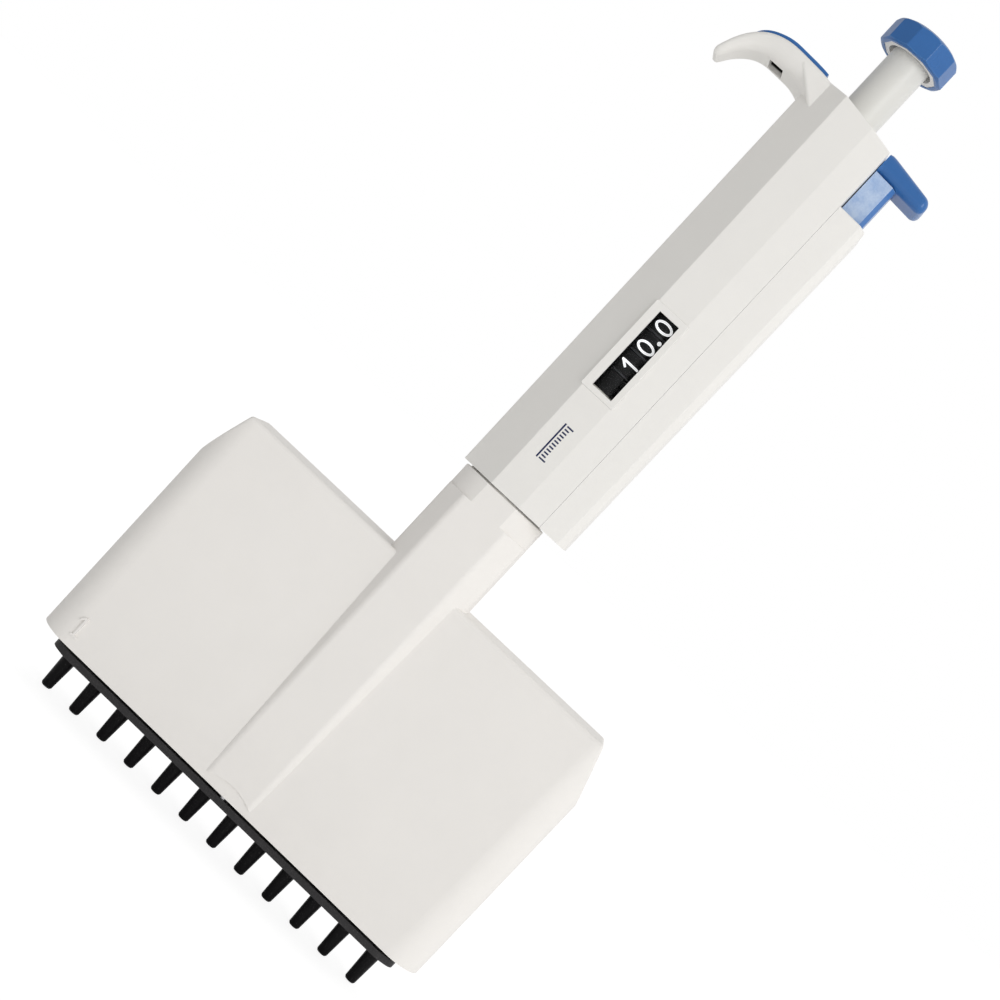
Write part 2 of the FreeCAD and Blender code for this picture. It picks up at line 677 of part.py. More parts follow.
def ejector_foot():
    """Arm from the ejector rod into the groove of the ejector ring."""
    foot = box(8.0, 16.8, -2.0, 2.0, RING_GROOVE_Z0 + 0.05, RING_GROOVE_Z1 - 0.05)
    foot = foot.cut(cyl(RING_GROOVE_R + 0.08, 116, 122))
    return largest_solid(foot.cut(cyl(EJECTOR_ROD_R, 116, 122, EJECTOR_X)))


def ejector_spring():
    return spring(coil_r=2.1, wire=0.7, z0=BRACKET_Z1, z1=ROD_COLLAR_Z0, turns=13, x=EJECTOR_X)


def ejector_ring():
    """Grooved ring round the spigot that carries the stripper push rods."""
    bore, rim, z0, z1 = SPIGOT_R + 0.1, 9.7, 114.0, 124.0
    shape = revolve([(bore, z0), (rim, z0), (rim, RING_GROOVE_Z0), (RING_GROOVE_R, RING_GROOVE_Z0),
                     (RING_GROOVE_R, RING_GROOVE_Z1), (rim, RING_GROOVE_Z1), (rim, z1), (bore, z1)])
    return cut_pushrod_holes(shape, PUSHROD_R, 110, PUSHROD_Z1)


def stripper_plate():
    x0, x1, half_y = -53.7, 54.4, 10.0
    corner_x, corner_y = 4.4, 2.4
    plate = prism_z(mirrored([(x0, -half_y + corner_y), (x0 + corner_x, -half_y),
                              (x1 - corner_x, -half_y), (x1, -half_y + corner_y)]),
                    STRIP_Z0, STRIP_Z1)
    plate = fillet(plate, 4.0, vertical)
    for x in CHANNEL_XS:
        plate = plate.cut(cyl(2.15, 0, 20, x))
    return largest_solid(cut_pushrod_holes(plate, PUSHROD_R, STRIP_Z0 + 0.8, 20))


def stripper_pushrods():
    return [cyl(PUSHROD_R, STRIP_Z0 + 0.8, PUSHROD_Z1, 0, side * PUSHROD_Y) for side in (-1, 1)]


# ---------------------------------------------------------------- swivel coupling
def swivel_bearing():
    bearing = ring(BORE_R, SPIGOT_R + 0.05, 125.2, 137.0)
    bearing = bearing.fuse(ring(BORE_R, CORE_R + 0.1, 136.0, 139.1))
    return largest_solid(bearing.cut(ring(8.4, 5.0, CLIP_Z0 - 0.1, CLIP_Z1 + 0.1)))


def swivel_spigot():
    bore, clip_groove_r, top = 5.2, 6.8, 134.0
    flange_z0, flange_z1 = GROOVE_Z0 + 0.03, GROOVE_Z1 - 0.03
    spigot = revolve([
        (bore, SPIGOT_Z0), (SPIGOT_R, SPIGOT_Z0), (SPIGOT_R, flange_z0),
        (SPIGOT_FLANGE_R, flange_z0), (SPIGOT_FLANGE_R, flange_z1), (SPIGOT_R, flange_z1),
        (SPIGOT_R, CLIP_Z0), (clip_groove_r, CLIP_Z0), (clip_groove_r, CLIP_Z1),
        (SPIGOT_R, CLIP_Z1), (SPIGOT_R, top - 0.5), (SPIGOT_R - 0.5, top), (bore, top)])
    spigot = spigot.fuse(ring(SPIGOT_R, PUSH_R + 0.06, SPIGOT_Z0 - 3.0, SPIGOT_Z0))
    return largest_solid(cut_pushrod_holes(spigot, PUSHROD_R + 0.1, 90, 100))


def swivel_clip():
    clip = ring(8.3, 6.86, CLIP_Z0 + 0.05, CLIP_Z1 - 0.05)
    return largest_solid(clip.cut(box(-1.2, 1.2, 0, 12, 129, 132)))


def push_rod():
    rod = cyl(PUSH_R, PUSH_Z0, PUSH_HEAD_Z0 + 0.5)
    return largest_solid(rod.fuse(cyl(4.7, PUSH_HEAD_Z0, MEET_Z)))


def carrier_spring():
    return spring(coil_r=4.2, wire=0.8, z0=SPIGOT_Z0, z1=PUSH_HEAD_Z0, turns=8)


# ---------------------------------------------------------------- manifold casing
CASING_X0 = 59.5                        # half width at the bottom
CASING_X1 = 60.05                       # half width at the shoulder
SHOULDER_Z = 65.6
CASING_TOP_X = 55.2                     # half width at the top
CASING_END_R0, CASING_END_R1 = 8.5, 7.2
CASING_WALL = 1.8
SPLIT_GAP = 0.03
NECK_OUTLINE = octagon(6.6, 11.6, 11.95)
NECK_ROUND = 2.0
NECK_Z0, NECK_Z1 = 60.0, 100.6
COLLAR_Z1 = 106.3
TURNED_R = 12.7                         # the collar is turned down to this
SPACER_R = 10.9                         # low disc between the collar and the handle
RIDGE_Z0 = 15.2
RIDGE_ARC_R = 15.0
INNER_Y, OUTER_Y = BLOCK_HALF_Y + 0.05, 10.9     # extent of the lower bosses and ledges


def casing_block(inset, z0, z1):
    """Drafted block, cut in above the shoulder, with every side moved in by inset."""
    low_x, shoulder_x = CASING_X0 - inset, CASING_X1 - inset
    cut_x = CASING_TOP_X - inset
    loft_x = low_x + (shoulder_x - low_x) * (z1 - z0) / (SHOULDER_Z - z0)
    block = Part.makeLoft([
        rounded_rectangle(low_x, CASING_Y0 - inset, CASING_END_R0 - inset, z0),
        rounded_rectangle(loft_x, CASING_Y1 - inset, CASING_END_R1 - inset, z1)], True, True)
    beyond = 5                          # the cutters run this far past the top
    beyond_x = cut_x - (shoulder_x - cut_x) / (z1 - SHOULDER_Z) * beyond
    for side in (-1, 1):
        block = block.cut(prism_y([
            (side * shoulder_x, SHOULDER_Z), (side * cut_x, z1), (side * beyond_x, z1 + beyond),
            (side * (shoulder_x + 20), z1 + beyond), (side * (shoulder_x + 20), SHOULDER_Z)],
            -30, 30))
    return block


def neck():
    """Octagonal neck, with the ridge that carries it down to an arched lower end."""
    upper = fillet(prism_z(NECK_OUTLINE, NECK_Z0, NECK_Z1), NECK_ROUND, vertical)
    ridge = fillet(prism_z(NECK_OUTLINE, RIDGE_Z0 - 1.0, NECK_Z0), NECK_ROUND, vertical)
    ridge = ridge.cut(cyl_y(RIDGE_ARC_R, -20, 20, 0, RIDGE_Z0 + 1.1 - RIDGE_ARC_R))
    return upper.fuse(ridge)


def collar():
    shape = prism_z(NECK_OUTLINE, NECK_Z1 - 0.02, COLLAR_Z1)
    shape = shape.common(cyl(TURNED_R, NECK_Z1 - 1, COLLAR_Z1 + 1))
    shape = fillet(shape, 0.3, lambda edge: edge.BoundBox.ZMin > COLLAR_Z1 - 0.01)
    return shape.fuse(cyl(SPACER_R, COLLAR_Z1 - 0.5, HANDLE_Z0 - 0.12))


def casing_half_depth(z):
    return CASING_Y0 + (CASING_Y1 - CASING_Y0) * (z - CASING_Z0) / (CASING_Z1 - CASING_Z0)


def casing_shell():
    """Both halves of the casing in one piece."""
    outer = casing_block(0, CASING_Z0, CASING_Z1)
    outer = fillet(outer, 1.0, lambda edge: edge.BoundBox.ZMin > SHOULDER_Z - 0.5
                   and (edge.BoundBox.ZMax > CASING_Z1 - 0.5
                        or edge.BoundBox.ZMax - edge.BoundBox.ZMin < 0.5))
    inner = casing_block(CASING_WALL, CASING_Z0 - 4, CASING_Z1 - CASING_WALL)
    shell = outer.fuse([neck(), collar()])
    shell = shell.cut(inner).cut(prism_z(octagon(5.6, 10.1, 10.1), CASING_Z0 - 4, 79.5))
    # bore for the spigot and groove for its flange
    shell = shell.cut(cyl(SPIGOT_R + 0.02, 70, 110))
    shell = shell.cut(cyl(SPIGOT_FLANGE_R + 0.02, GROOVE_Z0, GROOVE_Z1))
    # screw bosses, the lower ones in front of and behind the nozzle block
    sides = ((-OUTER_Y, -INNER_Y), (INNER_Y, OUTER_Y))
    bosses = [cyl_y(3.0, -8.6, 8.6, x, z) for x, z in UPPER_SCREWS]
    bosses += [cyl_y(2.6, y0, y1, x, z) for x, z in LOWER_SCREWS for y0, y1 in sides]
    shell = shell.fuse([boss.common(outer) for boss in bosses])
    # ledges just above the nozzle block
    for y0, y1 in sides:
        shell = shell.fuse(box(-56.0, 56.0, y0, y1, 23.6, 25.2).common(outer))
    # screw holes: thread, clearance and head
    for x, z in SCREWS:
        rear_y = casing_half_depth(z)
        for radius, y0 in ((0.85, -rear_y + 2.2), (1.05, 0.0), (2.0, rear_y - 1.5)):
            shell = shell.cut(cyl_y(radius, y0, 30, x, z))
    return cut_pushrod_holes(shell, PUSHROD_R + 0.1, 5, 110)


def channel_numeral():
    """Raised figure 1 at the left end of the front."""
    y0, y1 = -11.95, -11.1
    stroke = box(-50.8, -50.25, y0, y1, 15.7, 20.9)
    base = box(-51.4, -49.55, y0, y1, 15.5, 16.0)
    flag = prism_y([(-50.8, 20.9), (-51.75, 20.0), (-51.75, 19.45), (-50.8, 20.25)], y0, y1)
    return stroke.fuse([base, flag])


def manifold_front_shell():
    shell = casing_shell().fuse(channel_numeral())
    return largest_solid(shell.common(box(-100, 100, -50, -SPLIT_GAP / 2, -50, 300)))


def manifold_rear_shell():
    return largest_solid(casing_shell().common(box(-100, 100, SPLIT_GAP / 2, 50, -50, 300)))


def casing_screws():
    """Cross-head screws put in from the rear."""
    half_long, half_wide = 1.1, 0.25
    screws = []
    for x, z in SCREWS:
        rear_y = casing_half_depth(z)
        bars = [box(x - across, x + across, rear_y - 0.8, rear_y, z - up, z + up)
                for across, up in ((half_long, half_wide), (half_wide, half_long))]
        head = cyl_y(1.9, rear_y - 1.5, rear_y - 0.3, x, z)
        screw = head.fuse(cyl_y(0.84, -rear_y + 3.0, rear_y - 1.4, x, z))
        screws.append(largest_solid(screw.cut(bars[0].fuse(bars[1]))))
    return screws


# ---------------------------------------------------------------- nozzles and pistons
SEAL_R = 2.2
SEAL_TOP = NOZZLE_TOP + 1.6
NOZZLE_SHOULDER_Z = 23.5                # also the top of the nozzle block


def nozzle_block():
    block = box(-56.0, 56.0, -BLOCK_HALF_Y, BLOCK_HALF_Y, 17.0, NOZZLE_SHOULDER_Z)
    block = fillet(block, 2.0, vertical)
    for x in CHANNEL_XS:
        block = block.cut(cyl(NOZZLE_BODY_R, 10, 30, x))
    for x, z in LOWER_SCREWS:
        block = block.cut(cyl_y(1.05, -20, 20, x, z))
    # notches for the stripper push rods
    for y0, y1 in ((-12, -7.4), (7.4, 12)):
        block = block.cut(box(-2.0, 2.0, y0, y1, 10, 30))
    return largest_solid(block)


def nozzles():
    tip_r, root_r, exposed = 1.45, 1.98, 10.4
    bore_r = 0.42
    cylinder_r, cylinder_floor = 0.85, 12.2
    flange_r, flange_z1 = 3.4, 25.0
    profile = [
        (bore_r, 0.0), (tip_r - 0.25, 0.0), (tip_r, 0.35), (root_r, exposed),
        (root_r + 0.05, 15.0), (NOZZLE_BODY_R - 0.4, 15.2), (NOZZLE_BODY_R, 15.6),
        (NOZZLE_BODY_R, NOZZLE_SHOULDER_Z), (flange_r, NOZZLE_SHOULDER_Z),
        (flange_r, flange_z1), (NOZZLE_BODY_R, flange_z1), (NOZZLE_BODY_R, NOZZLE_TOP),
        (cylinder_r, NOZZLE_TOP), (cylinder_r, cylinder_floor), (bore_r, cylinder_floor - 0.6)]
    return [revolve(profile, x) for x in CHANNEL_XS]


def piston_seals():
    return [ring(SEAL_R, 0.80, NOZZLE_TOP, SEAL_TOP, x) for x in CHANNEL_XS]


def seal_retainer():
    retainer = box(-54.0, 54.0, -5.2, 5.2, NOZZLE_TOP - 1.4, NOZZLE_TOP + 3.0)
    below = NOZZLE_TOP - 3
    for x in CHANNEL_XS:
        for radius, z1 in ((NOZZLE_BODY_R, NOZZLE_TOP), (SEAL_R, SEAL_TOP), (1.0, NOZZLE_TOP + 5)):
            retainer = retainer.cut(cyl(radius, below, z1, x))
    return largest_solid(retainer)


def piston_head(x):
    return cyl(PISTON_HEAD_R, PISTON_HEAD_Z0, PISTON_HEAD_Z1, x)


def pistons():
    return [largest_solid(cyl(PISTON_R, 26.0, PISTON_HEAD_Z0, x).fuse(piston_head(x)))
            for x in CHANNEL_XS]


def piston_carrier():
    carrier = box(-CARRIER_HALF_X, CARRIER_HALF_X, -5.0, 5.0, CARRIER_Z0, CARRIER_Z1)
    carrier = fillet(carrier, 1.0, vertical)
    for x in CHANNEL_XS:
        carrier = carrier.cut(cyl(PISTON_R, 50, 58, x)).cut(piston_head(x))
    return largest_solid(carrier.cut(cyl(PUSH_R, PUSH_Z0, 70)))


def carrier_clamp_bar():
    bar = box(-CARRIER_HALF_X, CARRIER_HALF_X, -4.0, 4.0, CARRIER_Z1, CARRIER_Z1 + 1.1)
    return largest_solid(bar.cut(cyl(PUSH_R, 50, 70)))


# ---------------------------------------------------------------- write the pieces
os.makedirs("parts", exist_ok=True)

# pieces whose file name is the name of their function
for build in (handle_body, hook_pad, ejector_cover, window_bezel, window_lens,
              counter_spacer, counter_plates, counter_core, spring_seat, volume_stop_nut,
              plunger_bushing, plunger_shaft, thrust_washer, main_spring, drive_rod,
              plunger_knob, knob_ring, ejector_stem, ejector_button, ejector_rod,
              ejector_foot, ejector_spring, ejector_ring, stripper_plate, stripper_pushrods,
              swivel_bearing, swivel_spigot, swivel_clip, push_rod, carrier_spring,
              manifold_front_shell, manifold_rear_shell, casing_screws, nozzle_block,
              nozzles, piston_seals, seal_retainer, pistons, piston_carrier,
              carrier_clamp_bar):
    save(build.__name__, build())

save("counter_wheel_tens", counter_wheel(1, CORE_R + 0.05))
save("counter_wheel_units", counter_wheel(2, CORE_R + 0.05))
save("counter_wheel_tenths", counter_wheel(3, CORE_R))
save("carry_pinion_tens", carry_pinion(2))
save("carry_pinion_units", carry_pinion(3))
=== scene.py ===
"""A twelve-channel hand pipette with a three-drum volume counter, standing upright along Z.

The front, with the counter window, faces -Y and the ejector side faces +X.
"""
import json
import math

import bmesh
import bpy
from mathutils import Matrix, Vector


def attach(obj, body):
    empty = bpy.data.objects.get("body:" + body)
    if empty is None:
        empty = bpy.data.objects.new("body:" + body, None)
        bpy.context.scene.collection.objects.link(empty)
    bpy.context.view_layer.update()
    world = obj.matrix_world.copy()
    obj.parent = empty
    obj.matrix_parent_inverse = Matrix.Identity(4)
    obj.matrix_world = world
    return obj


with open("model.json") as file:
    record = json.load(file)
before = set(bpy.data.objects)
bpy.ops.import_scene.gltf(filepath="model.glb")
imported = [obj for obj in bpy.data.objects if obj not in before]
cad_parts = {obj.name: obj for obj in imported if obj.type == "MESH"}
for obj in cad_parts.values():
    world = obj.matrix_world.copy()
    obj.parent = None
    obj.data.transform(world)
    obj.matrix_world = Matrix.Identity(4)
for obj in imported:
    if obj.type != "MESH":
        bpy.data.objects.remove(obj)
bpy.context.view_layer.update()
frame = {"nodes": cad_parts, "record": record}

scene = bpy.context.scene
MM = 0.001


# ------------------------------------------------------------------ shader node helpers
# Socket numbers of a colour Mix node, whose socket names repeat for each data type.
MIX_FACTOR, MIX_A, MIX_B, MIX_RESULT = 0, 6, 7, 2


def srgb(*channels):
    """Linear RGBA from 0-255 sRGB channels."""
    linear = []
    for c in channels:
        c = c / 255.0
        linear.append(c / 12.92 if c <= 0.04045 else ((c + 0.055) / 1.055) ** 2.4)
    return (*linear, 1.0)


def new_material(name):
    material = bpy.data.materials.new(name)
    material.use_nodes = True
    material.node_tree.nodes.clear()
    return material


def add_node(tree, kind, inputs=None, **settings):
    """Add a node. An input given as a socket is linked, any other value is set."""
    node = tree.nodes.new(kind)
    for key, value in settings.items():
        setattr(node, key, value)
    for key, value in (inputs or {}).items():
        if isinstance(value, bpy.types.NodeSocket):
            tree.links.new(value, node.inputs[key])
        else:
            node.inputs[key].default_value = value
    return node


def texture_coords(tree, kind="Object"):
    return add_node(tree, "ShaderNodeTexCoord").outputs[kind]


def noise(tree, vector, scale, detail, roughness=0.5):
    inputs = {"Vector": vector, "Scale": scale, "Detail": detail, "Roughness": roughness}
    return add_node(tree, "ShaderNodeTexNoise", inputs).outputs["Fac"]


def map_range(tree, value, from_range=(0.0, 1.0), to_range=(0.0, 1.0), interpolation="LINEAR"):
    inputs = {"Value": value, "From Min": from_range[0], "From Max": from_range[1],
              "To Min": to_range[0], "To Max": to_range[1]}
    node = add_node(tree, "ShaderNodeMapRange", inputs, interpolation_type=interpolation)
    return node.outputs["Result"]


def maths(tree, operation, *values):
    node = add_node(tree, "ShaderNodeMath", dict(enumerate(values)), operation=operation)
    return node.outputs[0]


def mix_colour(tree, factor, a, b):
    inputs = {MIX_FACTOR: factor, MIX_A: a, MIX_B: b}
    return add_node(tree, "ShaderNodeMix", inputs, data_type="RGBA").outputs[MIX_RESULT]


def mix_shader(tree, factor, a, b):
    return add_node(tree, "ShaderNodeMixShader", {0: factor, 1: a, 2: b}).outputs[0]


def bump(tree, height, strength, distance):
    inputs = {"Height": height, "Strength": strength, "Distance": distance}
    return add_node(tree, "ShaderNodeBump", inputs).outputs["Normal"]


def principled(material):
    return next(n for n in material.node_tree.nodes if n.type == "BSDF_PRINCIPLED")


def overlay_colour(material, factor, colour):
    """Lay a colour over the material's present base colour."""
    tree = material.node_tree
    base = principled(material).inputs["Base Color"]
    mixed = mix_colour(tree, factor, base.links[0].from_socket, colour)
    tree.links.new(mixed, base)


# ------------------------------------------------------------------ moulded and machined surfaces
EDGE_WEAR_AND_HIGHLIGHT_NOISE_SCALE = 420.0
ROUGHNESS_NOISE_SCALE = 190.0
ROUGHNESS_SPREAD = 0.07
GRAIN_SCALE = 1500.0
GRAIN_DEPTH = 0.06 * MM
SCRATCH_STRETCH = (900.0, 900.0, 30.0)      # noise scale per axis: scratches run along Z
COAT_ROUGHNESS = 0.12
# Cosine between true and rounded normal where edge wear, and on the bezel a painted edge
# highlight, starts and where it is full.
EDGE_WEAR_AND_HIGHLIGHT_COSINES = (0.995, 0.90)


def moulded(name, colour, rough, variation, edge_wear_and_highlight, grain, specular=0.4, coat=0.0, metallic=0.0,
            scratch=0.0, blotch_scale=55.0, edge_radius=0.0005, edge_wear_and_highlight_colour=None):
    """Surface with slow colour blotches, fine grain, uneven roughness and worn edges, which on
    the bezel are a painted edge highlight.
    """
    material = new_material(name)
    tree = material.node_tree
    coords = texture_coords(tree)

    # blotches
    blotches = map_range(tree, noise(tree, coords, blotch_scale, detail=5.0, roughness=0.6),
                         from_range=(0.3, 0.7))
    dark = tuple(c * (1 - variation) for c in colour[:3]) + (1,)
    light = tuple(c * (1 + variation * 0.6) for c in colour[:3]) + (1,)
    base = mix_colour(tree, blotches, dark, light)

    # worn edges, and on the bezel a painted edge highlight, where a rounded normal departs from
    # the true one
    rounded = add_node(tree, "ShaderNodeBevel", {"Radius": edge_radius}, samples=4)
    geometry = add_node(tree, "ShaderNodeNewGeometry")
    cosine = add_node(tree, "ShaderNodeVectorMath",
                      {0: rounded.outputs["Normal"], 1: geometry.outputs["True Normal"]},
                      operation="DOT_PRODUCT")
    edges = map_range(tree, cosine.outputs["Value"], from_range=EDGE_WEAR_AND_HIGHLIGHT_COSINES)
    patchy = maths(tree, "MULTIPLY", edges, noise(tree, coords, EDGE_WEAR_AND_HIGHLIGHT_NOISE_SCALE, detail=4.0))
    edge_wear_and_highlight_mask = maths(tree, "MULTIPLY", patchy, edge_wear_and_highlight * 2.0)
    if edge_wear_and_highlight_colour is None:
        edge_wear_and_highlight_colour = tuple(min(1.0, c * 1.25 + 0.06) for c in colour[:3]) + (1,)
    base = mix_colour(tree, edge_wear_and_highlight_mask, base, edge_wear_and_highlight_colour)

    roughness = map_range(tree, noise(tree, coords, ROUGHNESS_NOISE_SCALE, detail=6.0),
                          to_range=(rough - ROUGHNESS_SPREAD, rough + ROUGHNESS_SPREAD))

    # grain, with long scratches added where asked for
    height = noise(tree, coords, GRAIN_SCALE, detail=3.0)
    if scratch:
        stretched = add_node(tree, "ShaderNodeMapping",
                             {"Vector": coords, "Scale": SCRATCH_STRETCH}).outputs["Vector"]
        scratches = noise(tree, stretched, scale=1.0, detail=4.0)
        height = maths(tree, "MULTIPLY_ADD", scratches, scratch, height)

    inputs = {
        "Base Color": base,
        "Roughness": roughness,
        "Normal": bump(tree, height, strength=grain, distance=GRAIN_DEPTH),
        "Metallic": metallic,
        "Specular IOR Level": specular,
    }
    if coat:
        inputs.update({"Coat Weight": coat, "Coat Roughness": COAT_ROUGHNESS})
    shader = add_node(tree, "ShaderNodeBsdfPrincipled", inputs)
    add_node(tree, "ShaderNodeOutputMaterial", {"Surface": shader.outputs["BSDF"]})
    return material


GREY = srgb(235, 233, 229)

# Arguments of moulded() for each material, in the order the materials are made.
SURFACES = {
    "handle_grey": dict(colour=GREY, rough=0.46, variation=0.012, edge_wear_and_highlight=0.10, grain=0.12,
                        specular=0.30),
    "casing_grey": dict(colour=srgb(238, 235, 231), rough=0.50, variation=0.016, edge_wear_and_highlight=0.10,
                        grain=0.16, specular=0.28),
    # The bezel's white edge marks are a painted highlight on its filleted edges.
    "bezel_grey": dict(colour=GREY, rough=0.42, variation=0.012, edge_wear_and_highlight=0.22, grain=0.05,
                       specular=0.35, edge_radius=0.0003, edge_wear_and_highlight_colour=(1, 1, 1, 1)),
    "blue_plastic": dict(colour=srgb(50, 104, 168), rough=0.30, variation=0.07, edge_wear_and_highlight=0.30,
                         grain=0.05, specular=0.35, coat=0.12, edge_radius=0.00045,
                         edge_wear_and_highlight_colour=srgb(96, 148, 200)),
    "white_plastic": dict(colour=srgb(222, 221, 216), rough=0.36, variation=0.02, edge_wear_and_highlight=0.08,
                          grain=0.06),
    "ring_white": dict(colour=srgb(238, 236, 232), rough=0.40, variation=0.03, edge_wear_and_highlight=0.2,
                       grain=0.06),
    "black_plastic": dict(colour=srgb(9, 8, 10), rough=0.33, variation=0.15, edge_wear_and_highlight=0.20,
                          grain=0.08, specular=0.16, edge_wear_and_highlight_colour=srgb(48, 48, 52)),
    "drum_black": dict(colour=srgb(8, 8, 9), rough=0.36, variation=0.15, edge_wear_and_highlight=0.10, grain=0.04,
                       specular=0.30, edge_radius=0.0002, edge_wear_and_highlight_colour=srgb(60, 60, 60)),
    "strip_plastic": dict(colour=srgb(51, 50, 51), rough=0.50, variation=0.12, edge_wear_and_highlight=0.12,
                          grain=0.15, specular=0.20, edge_wear_and_highlight_colour=srgb(70, 70, 72)),
    "acetal": dict(colour=srgb(222, 219, 208), rough=0.45, variation=0.03, edge_wear_and_highlight=0.1, grain=0.1),
    "steel": dict(colour=(0.55, 0.55, 0.57, 1), rough=0.28, variation=0.06, edge_wear_and_highlight=0.1, grain=0.2,
                  metallic=1.0, scratch=1.0),
    "spring_steel": dict(colour=(0.42, 0.42, 0.44, 1), rough=0.30, variation=0.08, edge_wear_and_highlight=0.1,
                         grain=0.2, metallic=1.0, scratch=0.6),
    "plate_steel": dict(colour=(0.060, 0.060, 0.064, 1), rough=0.42, variation=0.06, edge_wear_and_highlight=0.1,
                        grain=0.2, metallic=1.0, edge_wear_and_highlight_colour=(0.16, 0.16, 0.17, 1)),
    "aluminium": dict(colour=(0.66, 0.66, 0.68, 1), rough=0.34, variation=0.05, edge_wear_and_highlight=0.12,
                      grain=0.25, metallic=1.0, scratch=0.8),
    "brass": dict(colour=(0.64, 0.47, 0.19, 1), rough=0.28, variation=0.07, edge_wear_and_highlight=0.15,
                  grain=0.15, metallic=1.0, scratch=0.5),
    "rubber": dict(colour=srgb(22, 22, 22), rough=0.7, variation=0.1, edge_wear_and_highlight=0.1, grain=0.25,
                   specular=0.2),
    "digit_white": dict(colour=srgb(252, 252, 252), rough=0.45, variation=0.012, edge_wear_and_highlight=0.0,
                        grain=0.04, specular=0.3),
    "print_navy": dict(colour=srgb(38, 46, 84), rough=0.5, variation=0.10, edge_wear_and_highlight=0.0,
                       grain=0.06, specular=0.2, blotch_scale=900.0),
    "stem_blue": dict(colour=srgb(72, 120, 184), rough=0.28, variation=0.06, edge_wear_and_highlight=0.35,
                      grain=0.06, specular=0.35, coat=0.08, edge_wear_and_highlight_colour=srgb(150, 185, 225)),
}

# Painted shade inside the handle's pocket: low and high limit in X, Y and Z, in object metres.
POCKET_SHADE_LIMITS = {"X": (-0.02428, -0.02012), "Y": (-0.0035, 0.0035), "Z": (0.2215, 0.22585)}
POCKET_SHADE_FADE_Z = (0.22300, 0.22345)          # the darkening starts and is full at these heights
# colour of the painted shade deep in the pocket
POCKET_SHADE_COLOUR = srgb(20, 17, 18)

# Painted glow: the white numerals give off light of their own, though they are no lamp.
DIGIT_PAINTED_GLOW = 0.45

# How far the normal turns to -Y where the painted sheen on the stem's front face starts and where
# it is full.
STEM_SHEEN_NORMAL_Y = (-0.90, -0.97)
STEM_SHEEN_TONES = ((0.36, srgb(140, 170, 214)), (0.62, srgb(188, 206, 232)))   # position, colour


def darken_pocket(material):
    """Paint shade inside the handle's pocket, fading in with height."""
    tree = material.node_tree
    xyz = add_node(tree, "ShaderNodeSeparateXYZ", {0: texture_coords(tree)})
    factor = map_range(tree, xyz.outputs["Z"], from_range=POCKET_SHADE_FADE_Z,
                       interpolation="SMOOTHSTEP")
    for axis, (low, high) in POCKET_SHADE_LIMITS.items():
        for operation, limit in (("GREATER_THAN", low), ("LESS_THAN", high)):
            inside = maths(tree, operation, xyz.outputs[axis], limit)
            factor = maths(tree, "MULTIPLY", factor, inside)
    overlay_colour(material, factor, POCKET_SHADE_COLOUR)


def rub_stem_front(material):
    """Paint a pale sheen, patchy with mottle, on the stem's front face; the other faces keep the
    full blue.
    """
    tree = material.node_tree
    coords = add_node(tree, "ShaderNodeTexCoord").outputs
    normal = add_node(tree, "ShaderNodeSeparateXYZ", {0: coords["Normal"]})
    facing = map_range(tree, normal.outputs["Y"], from_range=STEM_SHEEN_NORMAL_Y)
    patches = noise(tree, coords["Object"], scale=230.0, detail=9.0, roughness=0.75)
    tones = add_node(tree, "ShaderNodeValToRGB", {"Fac": patches})
    for element, (position, colour) in zip(tones.color_ramp.elements, STEM_SHEEN_TONES):
        element.position = position
        element.color = colour
    overlay_colour(material, facing, tones.outputs["Color"])


def clear_plastic():
    """Nearly clear plastic with a faint, slightly uneven gloss."""
    material = new_material("clear_plastic")
    tree = material.node_tree
    clear = add_node(tree, "ShaderNodeBsdfTransparent", {"Color": (0.975, 0.98, 0.985, 1)})
    uneven = noise(tree, texture_coords(tree), scale=160.0, detail=4.0)
    gloss = add_node(tree, "ShaderNodeBsdfGlossy", {
        "Roughness": map_range(tree, uneven, to_range=(0.08, 0.16)),
        "Normal": bump(tree, uneven, strength=0.05, distance=0.0001),
    })
    fresnel = add_node(tree, "ShaderNodeFresnel", {"IOR": 1.38})
    gloss_share = maths(tree, "MULTIPLY", fresnel.outputs[0], 0.10)
    surface = mix_shader(tree, gloss_share, clear.outputs[0], gloss.outputs[0])
    add_node(tree, "ShaderNodeOutputMaterial", {"Surface": surface})
    return material


materials = {name: moulded(name, **look) for name, look in SURFACES.items()}
materials["clear_plastic"] = clear_plastic()
# painted shade in the handle's pocket
darken_pocket(materials["handle_grey"])
# painted sheen on the stem's front face
rub_stem_front(materials["stem_blue"])
# painted glow on the numerals
digit_shader = principled(materials["digit_white"])
digit_shader.inputs["Emission Color"].default_value = (1, 1, 1, 1)
digit_shader.inputs["Emission Strength"].default_value = DIGIT_PAINTED_GLOW

# Each piece wears the material of its slot, apart from these.
looks = {part["node"]: part.get("material_slot", part["node"])
         for part in frame["record"]["subparts"]}
looks.update({
    "window_bezel": "bezel_grey",
    "knob_ring": "ring_white",
    "counter_plates": "plate_steel",
    "counter_spacer": "drum_black",
    "counter_wheel_tens": "drum_black",
    "counter_wheel_units": "drum_black",
    "counter_wheel_tenths": "drum_black",
})
for name, piece in frame["nodes"].items():
    piece.data.materials.clear()
    piece.data.materials.append(materials[looks[name]])


def add_detail(mesh, material, thickness, body):
    """Make a thin raised object from a sheet mesh, moving with the given body."""
    detail = bpy.data.objects.new(mesh.name, mesh)
    scene.collection.objects.link(detail)
    thick = detail.modifiers.new("thick", "SOLIDIFY")
    thick.thickness = thickness
    thick.offset = 0.0
    mesh.materials.append(materials[material])
    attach(detail, body)


def mesh_from(name, verts, faces):
    mesh = bpy.data.meshes.new(name)
    mesh.from_pydata(verts, [], faces)
    mesh.update()
    return mesh


